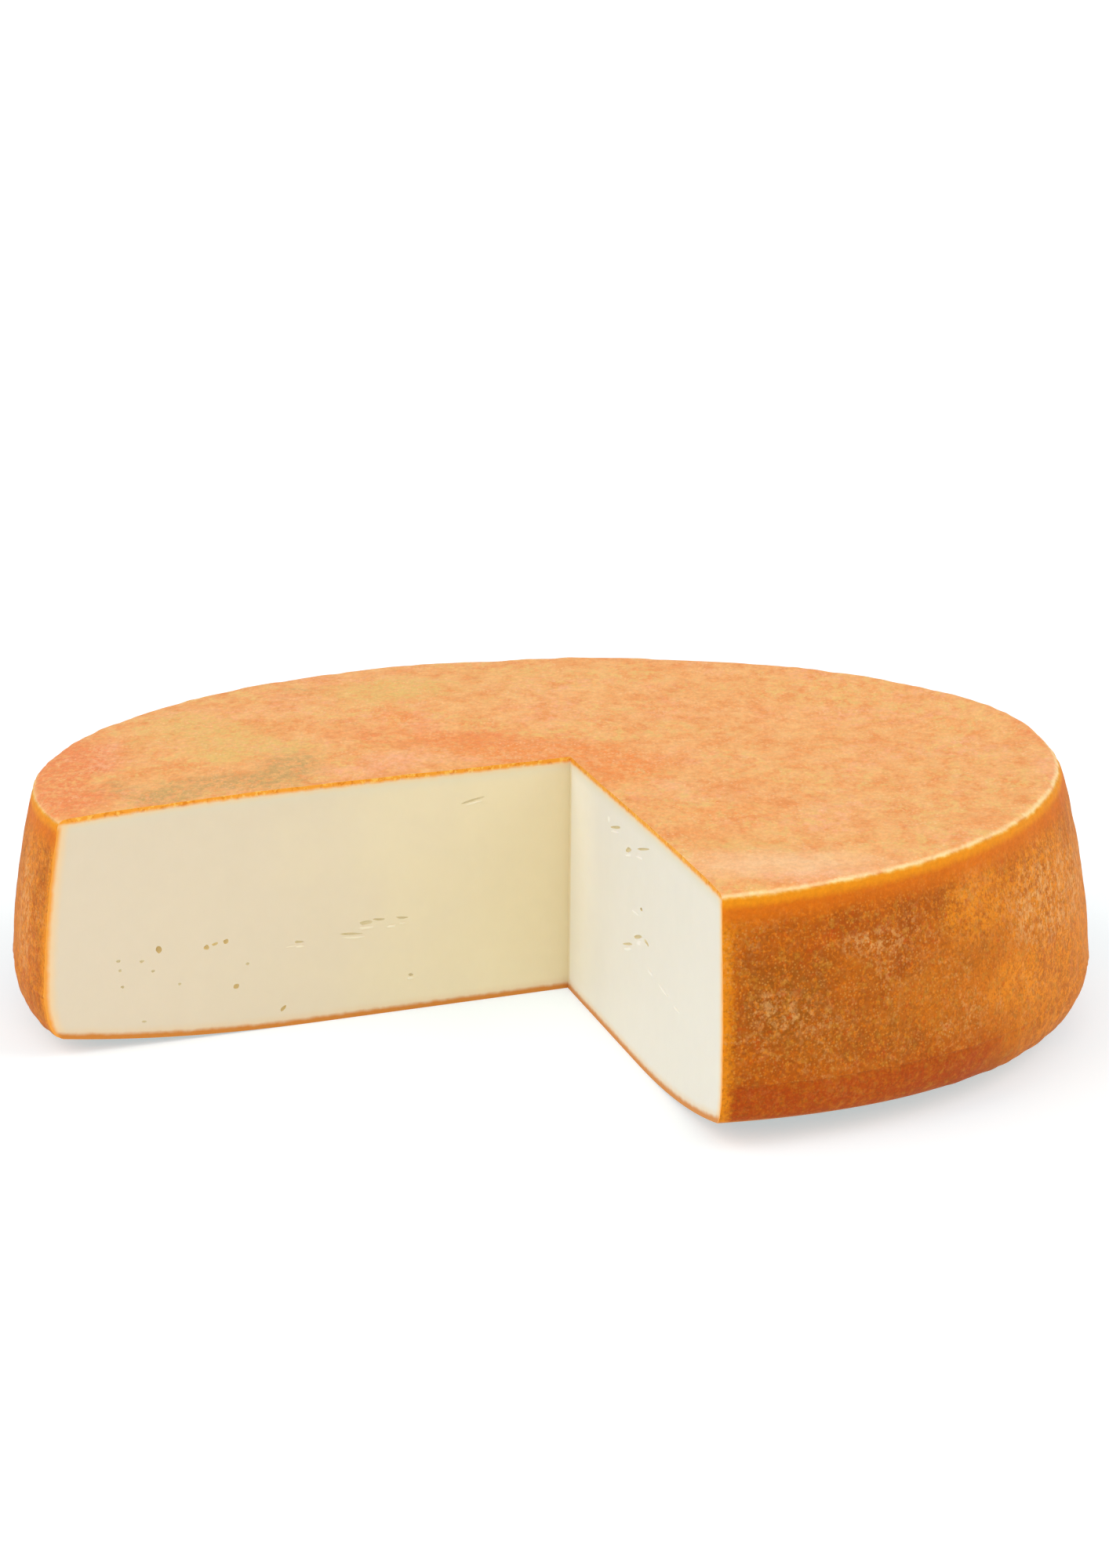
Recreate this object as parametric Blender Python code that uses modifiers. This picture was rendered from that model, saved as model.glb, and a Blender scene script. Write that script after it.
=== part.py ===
"""Fontina cheese: a low round wheel with a wedge of a little under a quarter cut out of it.

The wheel is one solid. A turned profile gives the flat base, the side that leans in above and
below its widest line, and the top. Low waves round the wheel make it as uneven as pressed cheese
is. A wedge is cut out through a corner near the wheel's axis. Small eyes and tears are cut into the
two faces that this leaves, and thin flakes that the knife lifted stand a little proud beside them.

Metres, +Z up. The origin is the middle of the wheel's footprint, on the surface it stands on. The
cut-out faces -Y. Angles run anticlockwise round the wheel's axis, from +X.
"""
import math

import bmesh
import bpy
import numpy as np
from mathutils import Matrix

# Driving dimensions of the wheel, in metres
WIDEST_RADIUS = 0.1874
WIDEST_HEIGHT = 0.0221
RIM_RADIUS = 0.1785
RIM_HEIGHT = 0.0850
TOP_MIDDLE_HEIGHT = 0.0853
BASE_RADIUS = 0.1820
BASE_EDGE_HEIGHT = 0.0050
FLAT_BASE_RADIUS = 0.085

# How fast each stretch of the profile curves, as powers
SIDE_CURVE = 1.74
FOOT_CURVE = 2.24
TOP_CURVE = 4.4
BASE_CURVE = 2.3

# Rounding of the rim at the top and of the edge at the base, and the facets of the turned shape
RIM_ROUNDING = 0.0030
BASE_ROUNDING = 0.0035
CORNER_STEPS = 4
TOP_STOPS = (0.0, 0.35, 0.60, 0.76, 0.86, 0.93)
SIDE_STEPS = 7
FOOT_STEPS = 3
BASE_STEPS = 6
TURN_STEPS = 96

# Waves round the wheel, each as (waves per turn, cosine size, sine size). The outline's and the bulge's
# are shares, the rises are metres. The bulge is how far the side stands out past the rim.
OUTLINE_WAVES = ((1, 0.0040, -0.0020), (2, 0.0004, 0.0045), (3, -0.0038, -0.0107), (4, 0.0001, 0.0060))
BULGE_WAVES = ((1, 0.253, 0.437), (2, 0.255, -0.050))
RIM_RISE_WAVES = ((1, 0.0044, 0.0010), (2, 0.0017, 0.0007))
BASE_RISE_WAVES = ((1, 0.0004, -0.0046), (2, -0.0009, 0.0007))

# The cut-out: its corner, seen from the wheel's axis, and the directions of its two faces
CORNER_X = 0.0078
CORNER_Y = 0.0040
LEFT_CUT_ANGLE = 206.7
RIGHT_CUT_ANGLE = 285.0
CUTTER_REACH = 0.30
CUTTER_OVERRUN = 0.05

# Holes in each face: distance out from the corner, height, length and thickness in millimetres, and
# how many degrees the outer end is raised
LEFT_HOLES = (
    (155.9, 33.4, 2.4, 2.7, 0),
    (138.4, 32.0, 2.1, 1.8, 0),
    (135.4, 32.8, 2.6, 1.1, -12),
    (131.4, 33.3, 2.1, 1.8, -10),
    (127.9, 16.8, 2.2, 1.7, 0),
    (110.4, 6.7, 3.0, 1.5, -40),
    (104.6, 29.9, 3.6, 0.8, 4),
    (85.0, 30.4, 9.0, 0.9, 4),
    (79.0, 33.8, 4.0, 1.3, 0),
    (74.2, 34.3, 3.8, 0.9, 6),
    (65.2, 34.0, 4.4, 0.9, 7),
    (62.0, 12.7, 2.0, 1.0, 0),
    (38.0, 73.6, 10.0, 0.8, -10),
)
RIGHT_HOLES = (
    (59.5, 74.6, 13.0, 1.0, 14),
    (76.0, 70.9, 6.0, 1.6, 14),
    (93.2, 75.6, 13.0, 0.9, 14),
    (92.4, 54.6, 2.8, 2.0, 0),
    (76.6, 38.2, 11.0, 1.0, 16),
    (89.3, 44.2, 10.5, 1.2, 17),
    (99.0, 45.0, 5.6, 1.2, -4),
)
HOLE_DEPTH_SHARE = 0.6
SHALLOWEST_HOLE = 0.45
HOLE_LIFT = 0.08

# Flakes on each face, written as the holes are
LEFT_FLAKES = (
    (104.0, 28.3, 4.6, 0.9, 4),
    (83.7, 28.9, 9.0, 0.9, 4),
    (79.1, 31.9, 6.0, 1.0, 0),
    (69.4, 31.3, 4.0, 0.9, 0),
    (64.9, 31.9, 3.0, 0.8, 6),
    (62.0, 11.5, 3.4, 0.7, 0),
    (38.5, 72.3, 8.0, 0.8, -10),
)
RIGHT_FLAKES = (
    (51.0, 75.6, 4.0, 2.4, 0),
    (59.5, 73.0, 14.0, 1.0, 12),
    (74.8, 68.8, 9.0, 1.2, 14),
    (89.0, 71.5, 9.0, 1.1, 5),
    (84.7, 51.6, 15.0, 1.8, 4),
    (76.6, 36.5, 10.0, 1.0, 16),
    (89.3, 42.2, 8.0, 1.4, 14),
)
FLAKE_HALF_DEPTH = 0.45
FLAKE_SUNK = 0.20

EGG_SEGMENTS = 10
EGG_RINGS = 6
MILLIMETRE = 0.001

# The smoothest edge that is still drawn sharp
SHARP_EDGE_ANGLE = 35.0
WELD_DISTANCE = 0.00001


def clear_scene():
    """Remove every object, so that the file holds only this model."""
    for old in list(bpy.data.objects):
        bpy.data.objects.remove(old, do_unlink=True)


def new_collection(name):
    """Make a collection in the scene."""
    collection = bpy.data.collections.new(name)
    bpy.context.scene.collection.children.link(collection)
    return collection


def cheese_material():
    """The orange rind's colour, as a plain waxy finish."""
    material = bpy.data.materials.new("fontina_rind")
    material.use_nodes = True
    shader = material.node_tree.nodes["Principled BSDF"]
    shader.inputs["Base Color"].default_value = (0.76, 0.38, 0.13, 1.0)
    shader.inputs["Roughness"].default_value = 0.6
    shader.inputs["Metallic"].default_value = 0.0
    return material


def top_height(radius):
    """Height of the top: level in the middle, curving away close to the rim."""
    drop = TOP_MIDDLE_HEIGHT - RIM_HEIGHT
    return TOP_MIDDLE_HEIGHT - drop * (radius / RIM_RADIUS) ** TOP_CURVE


def base_lift(radius):
    """How far the base has curved up, from 0 on its flat middle to 1 at its edge."""
    share = (radius - FLAT_BASE_RADIUS) / (BASE_RADIUS - FLAT_BASE_RADIUS)
    return np.clip(share, 0.0, 1.0) ** BASE_CURVE


def side_point(share):
    """A point on the side, from the rim (share 0) down to the widest line (share 1)."""
    radius = WIDEST_RADIUS - (WIDEST_RADIUS - RIM_RADIUS) * (1 - share) ** SIDE_CURVE
    return radius, RIM_HEIGHT + (WIDEST_HEIGHT - RIM_HEIGHT) * share


def foot_point(share):
    """A point below the widest line (share 0), down to the edge of the base (share 1)."""
    radius = WIDEST_RADIUS - (WIDEST_RADIUS - BASE_RADIUS) * share ** FOOT_CURVE
    return radius, WIDEST_HEIGHT + (BASE_EDGE_HEIGHT - WIDEST_HEIGHT) * share


def rounded_corner(before, corner, after, reach):
    """Points of a quadratic curve that starts and ends `reach` away from a corner."""
    before = np.array(before)
    corner = np.array(corner)
    after = np.array(after)
    start = corner + (before - corner) * reach / np.linalg.norm(before - corner)
    end = corner + (after - corner) * reach / np.linalg.norm(after - corner)
    points = []
    for step in range(CORNER_STEPS + 1):
        t = step / CORNER_STEPS
        points.append(tuple((1 - t) ** 2 * start + 2 * t * (1 - t) * corner + t ** 2 * end))
    return points


def wheel_profile():
    """The profile as (radius, height) points, from the middle of the top out and down to the base."""
    top = [(stop * RIM_RADIUS, top_height(stop * RIM_RADIUS)) for stop in TOP_STOPS]
    side = [side_point(step / SIDE_STEPS) for step in range(1, SIDE_STEPS + 1)]
    foot = [foot_point(step / FOOT_STEPS) for step in range(1, FOOT_STEPS)]
    base_radii = np.linspace(BASE_RADIUS, FLAT_BASE_RADIUS, BASE_STEPS + 1)[1:]
    base = [(radius, BASE_EDGE_HEIGHT * base_lift(radius)) for radius in base_radii]
    rim = rounded_corner(top[-1], side_point(0), side[0], RIM_ROUNDING)
    base_edge = rounded_corner(foot[-1], foot_point(1), base[0], BASE_ROUNDING)
    return top + rim + side + foot + base_edge + base + [(0.0, 0.0)]


def turned_mesh(profile):
    """Turn the profile round the Z axis with a Screw modifier, and return the closed mesh."""
    outline = bpy.data.meshes.new("profile")
    corners = [(radius, 0.0, height) for radius, height in profile]
    edges = [(index, index + 1) for index in range(len(corners) - 1)]
    outline.from_pydata(corners, edges, [])
    turning = bpy.data.objects.new("profile", outline)
    bpy.context.scene.collection.objects.link(turning)
    screw = turning.modifiers.new("turn", "SCREW")
    screw.axis = "Z"
    screw.angle = math.tau
    screw.steps = TURN_STEPS
    screw.render_steps = TURN_STEPS
    screw.use_merge_vertices = True
    screw.merge_threshold = 0.0001
    evaluated = turning.evaluated_get(bpy.context.evaluated_depsgraph_get())
    mesh = bpy.data.meshes.new_from_object(evaluated)
    bpy.data.objects.remove(turning)
    bpy.data.meshes.remove(outline)
    welded = bmesh.new()
    welded.from_mesh(mesh)
    bmesh.ops.remove_doubles(welded, verts=welded.verts, dist=WELD_DISTANCE)
    welded.to_mesh(mesh)
    welded.free()
    return mesh


def waves(angle, sizes):
    """Sum of cosine and sine waves round the wheel."""
    total = np.zeros_like(angle)
    for count, cosine, sine in sizes:
        total += cosine * np.cos(count * angle) + sine * np.sin(count * angle)
    return total


def bulged(radius, angle):
    """The radius, with whatever stands out past the rim widened or narrowed by the bulge's waves."""
    return radius + np.maximum(radius - RIM_RADIUS, 0.0) * waves(angle, BULGE_WAVES)


def make_uneven(mesh):
    """Give the outline and the bulge low waves, and let the rim and the base's edge rise and fall."""
    flat = np.empty(len(mesh.vertices) * 3, dtype=np.float32)
    mesh.vertices.foreach_get("co", flat)
    x, y, z = flat.astype(float).reshape(-1, 3).T
    radius = np.hypot(x, y)
    angle = np.arctan2(y, x)
    on_top = np.clip(radius / RIM_RADIUS, 0, 1) ** TOP_CURVE
    up_the_side = np.clip((z - WIDEST_HEIGHT) / (RIM_HEIGHT - WIDEST_HEIGHT), 0, 1)
    down_the_foot = np.clip((WIDEST_HEIGHT - z) / (WIDEST_HEIGHT - BASE_EDGE_HEIGHT), 0, 1)
    z = z + waves(angle, RIM_RISE_WAVES) * on_top * up_the_side
    z = z + waves(angle, BASE_RISE_WAVES) * base_lift(radius) * down_the_foot
    radius = bulged(radius, angle) * (1 + waves(angle, OUTLINE_WAVES))
    moved = np.stack((radius * np.cos(angle), radius * np.sin(angle), z), axis=1)
    mesh.vertices.foreach_set("co", moved.astype(np.float32).ravel())
    mesh.update()


def wire_object(name, mesh, collection):
    """Put a mesh that only a Boolean uses in the scene, as a wire that isn't rendered."""
    wire = bpy.data.objects.new(name, mesh)
    wire.hide_render = True
    wire.display_type = "WIRE"
    collection.objects.link(wire)
    return wire


def wedge_cutter(collection):
    """A three-cornered prism from below the wheel to above it, with one edge at the cut's corner."""
    outline = [(CORNER_X, CORNER_Y)]
    for angle in (LEFT_CUT_ANGLE, RIGHT_CUT_ANGLE):
        turned = math.radians(angle)
        far_x = CORNER_X + CUTTER_REACH * math.cos(turned)
        far_y = CORNER_Y + CUTTER_REACH * math.sin(turned)
        outline.append((far_x, far_y))
    prism = bmesh.new()
    below = [prism.verts.new((x, y, -CUTTER_OVERRUN)) for x, y in outline]
    floor = prism.faces.new(below)
    raised = bmesh.ops.extrude_face_region(prism, geom=[floor])
    lifted = [item for item in raised["geom"] if isinstance(item, bmesh.types.BMVert)]
    bmesh.ops.translate(prism, verts=lifted, vec=(0, 0, RIM_HEIGHT + 2 * CUTTER_OVERRUN))
    bmesh.ops.recalc_face_normals(prism, faces=prism.faces)
    mesh = bpy.data.meshes.new("wedge_cutter")
    prism.to_mesh(mesh)
    prism.free()
    return wire_object("wedge_cutter", mesh, collection)


def place_egg(name, cut_angle, outward, spot, depth, lift, collection):
    """An egg with its long axis along a cut face and its middle `lift` millimetres out of that face."""
    distance, height, length, thickness, tilt = spot
    size = (Matrix.Diagonal((length / 2, depth, thickness / 2)) * MILLIMETRE).to_4x4()
    out = Matrix.Translation((0, outward * lift * MILLIMETRE, 0))
    along = math.radians(cut_angle)
    place = Matrix.Translation((
        CORNER_X + distance * MILLIMETRE * math.cos(along),
        CORNER_Y + distance * MILLIMETRE * math.sin(along),
        height * MILLIMETRE,
    ))
    turn = Matrix.Rotation(along, 4, "Z") @ Matrix.Rotation(-math.radians(tilt), 4, "Y")
    egg = bmesh.new()
    bmesh.ops.create_uvsphere(egg, u_segments=EGG_SEGMENTS, v_segments=EGG_RINGS, radius=1.0)
    bmesh.ops.transform(egg, matrix=place @ turn @ out @ size, verts=egg.verts)
    mesh = bpy.data.meshes.new(name)
    egg.to_mesh(mesh)
    egg.free()
    return wire_object(name, mesh, collection)


def hole_depth(hole):
    """How deep an eye or a tear goes into the face, in millimetres."""
    return max(SHALLOWEST_HOLE, HOLE_DEPTH_SHARE * min(hole[2], hole[3]))


def add_eggs(hole_cutters, flakes):
    """Eggs for the holes and the flakes of both cut faces, each face with the turn that faces outwards."""
    faces = (
        ("left", LEFT_CUT_ANGLE, 1, LEFT_HOLES, LEFT_FLAKES),
        ("right", RIGHT_CUT_ANGLE, -1, RIGHT_HOLES, RIGHT_FLAKES),
    )
    for side, cut_angle, outward, holes, slivers in faces:
        for number, hole in enumerate(holes, start=1):
            name = f"{side}_hole_{number}"
            place_egg(name, cut_angle, outward, hole, hole_depth(hole), HOLE_LIFT, hole_cutters)
        for number, sliver in enumerate(slivers, start=1):
            name = f"{side}_flake_{number}"
            place_egg(name, cut_angle, outward, sliver, FLAKE_HALF_DEPTH, -FLAKE_SUNK, flakes)


def add_boolean(cheese, name, operation, collection):
    """Join the cheese with, or cut it by, every object of a collection."""
    modifier = cheese.modifiers.new(name, "BOOLEAN")
    modifier.operation = operation
    modifier.solver = "EXACT"
    modifier.operand_type = "COLLECTION"
    modifier.collection = collection


def cut_cheese(mesh, parts, cutters, hole_cutters, flakes):
    """The wheel's object, with the wedge and the holes taken out and the flakes put on by Booleans."""
    cheese = bpy.data.objects.new("cheese_wheel", mesh)
    parts.objects.link(cheese)
    wedge = cheese.modifiers.new("cut_out", "BOOLEAN")
    wedge.operation = "DIFFERENCE"
    wedge.solver = "EXACT"
    wedge.object = wedge_cutter(cutters)
    add_eggs(hole_cutters, flakes)
    add_boolean(cheese, "flakes", "UNION", flakes)
    add_boolean(cheese, "eyes_and_tears", "DIFFERENCE", hole_cutters)
    return cheese


def finish_mesh(cheese):
    """Apply the cuts, move the footprint's middle to the origin and shade the round parts smooth."""
    evaluated = cheese.evaluated_get(bpy.context.evaluated_depsgraph_get())
    mesh = bpy.data.meshes.new_from_object(evaluated)
    mesh.name = "cheese_wheel"
    cheese.modifiers.clear()
    cheese.data = mesh
    split = bmesh.new()
    split.from_mesh(mesh)
    bmesh.ops.triangulate(split, faces=split.faces, quad_method="BEAUTY", ngon_method="BEAUTY")
    split.to_mesh(mesh)
    split.free()
    corners = np.array([vertex.co for vertex in mesh.vertices])
    middle = (corners.min(axis=0) + corners.max(axis=0)) / 2
    mesh.transform(Matrix.Translation((-middle[0], -middle[1], -corners[:, 2].min())))
    mesh.shade_smooth()
    mesh.set_sharp_from_angle(angle=math.radians(SHARP_EDGE_ANGLE))
    mesh.materials.clear()
    mesh.materials.append(cheese_material())
    print("wheel axis at", [round(float(-value), 5) for value in middle[:2]])
    print("size", [round(float(value), 4) for value in np.ptp(corners, axis=0)])


def build():
    """Build the cheese."""
    clear_scene()
    parts = new_collection("fontina_cheese")
    cutters = new_collection("cutters")
    hole_cutters = new_collection("hole_cutters")
    flakes = new_collection("flakes")
    mesh = turned_mesh(wheel_profile())
    make_uneven(mesh)
    cheese = cut_cheese(mesh, parts, cutters, hole_cutters, flakes)
    finish_mesh(cheese)


build()
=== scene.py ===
# %% [markdown]
# # A cut wheel of fontina cheese
#
# A wheel of this cheese is a pressed drum about 38 cm across, with flat faces, a side that leans in above
# and below its widest line, and a thin orange rind. A wedge of a little under a quarter has been cut out,
# so two faces show the ivory paste. The file sets the camera, works out the wheel's surface, closes the
# cut faces, cuts the eyes and tears, and last builds the finishes and the light.

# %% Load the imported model
import math

import bmesh
import bpy
import numpy as np
from mathutils import Matrix, Vector


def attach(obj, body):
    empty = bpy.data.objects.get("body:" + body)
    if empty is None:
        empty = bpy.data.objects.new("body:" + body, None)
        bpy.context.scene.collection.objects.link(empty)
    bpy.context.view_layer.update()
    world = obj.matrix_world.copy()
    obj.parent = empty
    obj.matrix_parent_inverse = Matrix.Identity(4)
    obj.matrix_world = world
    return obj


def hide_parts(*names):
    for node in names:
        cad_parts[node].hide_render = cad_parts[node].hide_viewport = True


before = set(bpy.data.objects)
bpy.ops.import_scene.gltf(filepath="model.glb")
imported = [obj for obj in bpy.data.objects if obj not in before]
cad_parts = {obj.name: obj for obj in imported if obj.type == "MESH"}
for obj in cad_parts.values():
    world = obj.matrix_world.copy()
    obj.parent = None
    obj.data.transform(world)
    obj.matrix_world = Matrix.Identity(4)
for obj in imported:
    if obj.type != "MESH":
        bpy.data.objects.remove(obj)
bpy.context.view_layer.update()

MM = 0.001

# %% [markdown]
# ## The wheel's own numbers
#
# A pressed cheese is a turned shape that has sagged a little: a profile, and a few low waves round the
# wheel, each with a cosine and a sine size. They push the outline in and out, let the side bulge more here
# and less there, and let the rim and the base's edge rise and fall.

# %% Sizes of the wheel in metres and degrees
WIDEST_RADIUS = 0.1874
WIDEST_HEIGHT = 0.0221
RIM_RADIUS = 0.1785
RIM_HEIGHT = 0.0850
TOP_MIDDLE_HEIGHT = 0.0853
BASE_RADIUS = 0.1820
BASE_EDGE_HEIGHT = 0.0050
FLAT_BASE_RADIUS = 0.085

SIDE_DROP = RIM_HEIGHT - WIDEST_HEIGHT
FOOT_DROP = WIDEST_HEIGHT - BASE_EDGE_HEIGHT

SIDE_CURVE = 1.74
FOOT_CURVE = 2.24
TOP_CURVE = 4.4
BASE_CURVE = 2.3

OUTLINE_WAVES = ((1, 0.0040, -0.0020), (2, 0.0004, 0.0045), (3, -0.0038, -0.0107), (4, 0.0001, 0.0060))
BULGE_WAVES = ((1, 0.253, 0.437), (2, 0.255, -0.050))
RIM_RISE_WAVES = ((1, 0.0044, 0.0010), (2, 0.0017, 0.0007))
BASE_RISE_WAVES = ((1, 0.0004, -0.0046), (2, -0.0009, 0.0007))

CORNER = np.array((0.0078, 0.0040))
LEFT_CUT_ANGLE = math.radians(206.7)
RIGHT_CUT_ANGLE = math.radians(285.0 - 360.0)

# %% [markdown]
# ## Camera
#
# The lens, distance and tilt were found by matching the wheel's outlines. The camera is turned at its aim
# and then drawn back along its own axis. A long lens gives the calm perspective of a product picture.

# %% Camera
IMAGE_HEIGHT = 2000
FOCAL_PIXELS = 4792.0
SENSOR_SIZE = 36.0
CAMERA_DISTANCE = 1.33
CAMERA_ELEVATION = math.radians(13.81)
CAMERA_ROLL = math.radians(-0.56)
CAMERA_AIM = Vector((0.0024, 0.0, 0.0764))
WHEEL_AXIS = Vector((-0.0022, -0.0080, 0.0))


def put(name, data):
    """A new object with the given data, linked into the scene."""
    thing = bpy.data.objects.new(name, data)
    bpy.context.scene.collection.objects.link(thing)
    return thing


def make_camera():
    """A camera tilted and rolled at its aim, then drawn back by its distance."""
    data = bpy.data.cameras.new("camera")
    data.sensor_width = SENSOR_SIZE
    data.lens = FOCAL_PIXELS * SENSOR_SIZE / IMAGE_HEIGHT
    camera = put("camera", data)
    aim = Matrix.Translation(CAMERA_AIM + WHEEL_AXIS)
    tilt = Matrix.Rotation(math.radians(90) - CAMERA_ELEVATION, 4, "X")
    roll = Matrix.Rotation(-CAMERA_ROLL, 4, "Z")
    camera.matrix_world = aim @ tilt @ roll @ Matrix.Translation((0, 0, CAMERA_DISTANCE))
    bpy.context.scene.camera = camera
    return camera


camera = make_camera()
print("lens", round(camera.data.lens, 1), "mm at", [round(v, 3) for v in camera.location])

# %% [markdown]
# ## The profile and the waves
#
# The top is level in the middle and curves away close to the rim, which a high power of the radius gives.
# The side is a power curve too, steep at the rim and upright at the widest line. A quadratic curve rounds
# both corners of the profile.


# %% Profile functions
def waves(angle, sizes):
    """Sum over the waves of cosine size * cos(n * angle) + sine size * sin(n * angle)."""
    return sum(c * np.cos(n * angle) + s * np.sin(n * angle) for n, c, s in sizes)


def top_height(radius):
    """The middle's height less a drop that grows with the radius to the power TOP_CURVE."""
    return TOP_MIDDLE_HEIGHT - (TOP_MIDDLE_HEIGHT - RIM_HEIGHT) * (radius / RIM_RADIUS) ** TOP_CURVE


def base_lift(radius):
    """Share of its rise that the base has at a radius: 0 on the flat middle, 1 at its edge."""
    share = (radius - FLAT_BASE_RADIUS) / (BASE_RADIUS - FLAT_BASE_RADIUS)
    return np.clip(share, 0, 1) ** BASE_CURVE


def side_radius(share):
    """Radius on the side, from the rim (share 0) down to the widest line (share 1)."""
    return WIDEST_RADIUS - (WIDEST_RADIUS - RIM_RADIUS) * (1 - share) ** SIDE_CURVE


def foot_radius(share):
    """Radius below the widest line (share 0), down to the edge of the base (share 1)."""
    return WIDEST_RADIUS - (WIDEST_RADIUS - BASE_RADIUS) * share ** FOOT_CURVE


def rounded(start, corner, end, steps):
    """Points of the quadratic curve from start to end that leans towards the corner."""
    t = np.linspace(0, 1, steps + 1)[:, None]
    return (1 - t) ** 2 * np.array(start) + 2 * t * (1 - t) * np.array(corner) + t ** 2 * np.array(end)


# %% The outer profile, from the top's edge over the rim and down to the base
RIM_ROUNDING = 0.0032
BASE_ROUNDING = 0.0036
CORNER_STEPS = 6
SIDE_STEPS = 44
FOOT_STEPS = 14
SIDE_CROWDING = 1.5
FOOT_CROWDING = 1.3


def outer_profile():
    """Rows of radius, height and level: 0 at the rim, 1 at the widest line, 2 at the base's edge."""
    rim_end = RIM_ROUNDING / SIDE_DROP
    foot_end = 1 - BASE_ROUNDING / FOOT_DROP
    u = np.linspace(0, 1, SIDE_STEPS + 1)
    side_share = 1 - (1 - rim_end) * (1 - u) ** SIDE_CROWDING
    v = np.linspace(0, 1, FOOT_STEPS + 1)
    foot_share = foot_end * v ** FOOT_CROWDING
    side = np.stack((side_radius(side_share), RIM_HEIGHT - SIDE_DROP * side_share, side_share), axis=1)
    foot_height = WIDEST_HEIGHT - FOOT_DROP * foot_share
    foot = np.stack((foot_radius(foot_share), foot_height, 1 + foot_share), axis=1)
    rim_start = (RIM_RADIUS - RIM_ROUNDING, top_height(RIM_RADIUS - RIM_ROUNDING), -rim_end)
    rim = rounded(rim_start, (RIM_RADIUS, RIM_HEIGHT, 0), side[0], CORNER_STEPS)
    inner_edge = BASE_RADIUS - BASE_ROUNDING
    edge_end = (inner_edge, BASE_EDGE_HEIGHT * base_lift(inner_edge), 3 - foot_end)
    edge = rounded(foot[-1], (BASE_RADIUS, BASE_EDGE_HEIGHT, 2), edge_end, CORNER_STEPS)
    return np.concatenate((rim, side[1:], foot[1:], edge[1:]))


profile = outer_profile()
print("outer profile rows:", len(profile))

# %% [markdown]
# ## The rind as one grid
#
# One grid covers the top, the side and the base. Its columns are upright half-planes that turn round the
# corner of the cut-out, so the first and the last lie exactly in the cut faces. Its rows run from the
# corner out over the top, down the side and back under the base. Every row and column keeps its meaning,
# which a Boolean cut would lose and the finishes need.

# %% Grid of the rind
COLUMNS = 520
TOP_ROWS = 44
ROUNDS = 6


def bulged(radius, angle):
    """The radius, with whatever stands out past the rim multiplied by 1 + the bulge's waves."""
    return radius + np.maximum(radius - RIM_RADIUS, 0) * waves(angle, BULGE_WAVES)


def even_radius(x, y):
    """The radius that a point would have on a wheel without outline waves."""
    return np.hypot(x, y) / (1 + waves(np.arctan2(y, x), OUTLINE_WAVES))


def nominal_radius(x, y):
    """The radius that a point would have on the turned profile, without outline and bulge waves."""
    radius = even_radius(x, y)
    past_rim = np.maximum(radius - RIM_RADIUS, 0)
    return radius - past_rim + past_rim / (1 + waves(np.arctan2(y, x), BULGE_WAVES))


def reach_of(direction, radius):
    """How far a ray from the cut's corner runs to the outline of a nominal radius.

    For a circle the length solves a quadratic. Each round corrects the circle's radius for the waves
    where the ray meets it.
    """
    ray_x = np.cos(direction)
    ray_y = np.sin(direction)
    along = CORNER[0] * ray_x + CORNER[1] * ray_y
    target = radius * np.ones_like(direction)
    for _ in range(ROUNDS):
        reach = -along + np.sqrt(along ** 2 - CORNER @ CORNER + target ** 2)
        angle = np.arctan2(CORNER[1] + reach * ray_y, CORNER[0] + reach * ray_x)
        target = bulged(radius, angle) * (1 + waves(angle, OUTLINE_WAVES))
    return reach


def uneven_height(x, y, radius, height):
    """The height with the rim's and the base edge's waves, which fade towards the widest line."""
    angle = np.arctan2(y, x)
    up = np.clip((height - WIDEST_HEIGHT) / SIDE_DROP, 0, 1)
    down = np.clip((WIDEST_HEIGHT - height) / FOOT_DROP, 0, 1)
    on_top = np.clip(radius / RIM_RADIUS, 0, 1) ** TOP_CURVE
    raised = waves(angle, RIM_RISE_WAVES) * up * on_top
    return height + raised + waves(angle, BASE_RISE_WAVES) * down * base_lift(radius)


def spots(reach):
    """Places at a reach from the corner along each column's direction."""
    return CORNER[0] + reach * np.cos(directions), CORNER[1] + reach * np.sin(directions)


directions = np.linspace(RIGHT_CUT_ANGLE, LEFT_CUT_ANGLE, COLUMNS + 1)[None, :]
inward = np.linspace(0, 1, TOP_ROWS + 1)[:-1, None]
outer_reach = reach_of(directions, profile[:, 0:1])
reach = np.concatenate((inward * outer_reach[:1], outer_reach, inward[::-1] * outer_reach[-1:]))
rind_x, rind_y = spots(reach)
rind_radius = nominal_radius(rind_x, rind_y)
flat_height = np.concatenate((
    top_height(rind_radius[:TOP_ROWS]),
    profile[:, 1:2] * np.ones_like(directions),
    BASE_EDGE_HEIGHT * base_lift(rind_radius[-TOP_ROWS:]),
))
height = uneven_height(rind_x, rind_y, rind_radius, flat_height)
ROWS = len(reach)
print("rind grid:", ROWS, "rows by", COLUMNS + 1, "columns")

# %% [markdown]
# ## Relief of the rind
#
# Press cloth, brush and shelf leave shallow dents, and the mould a faint ridge along the widest line. Each
# point moves along the profile's normal inside its own half-plane, so the two cut columns stay flat. The
# dents are sums of plane waves in random directions, a smooth noise that takes a whole array at once.

# %% Relief
# Height in millimetres, then wavelength in metres, seed and number of waves
UNEVENNESS = ((0.10, (0.060, 11, 14)), (0.05, (0.018, 12, 14)), (0.04, (0.0075, 13, 20)))
MORE_ON_SIDE = 0.8
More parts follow.
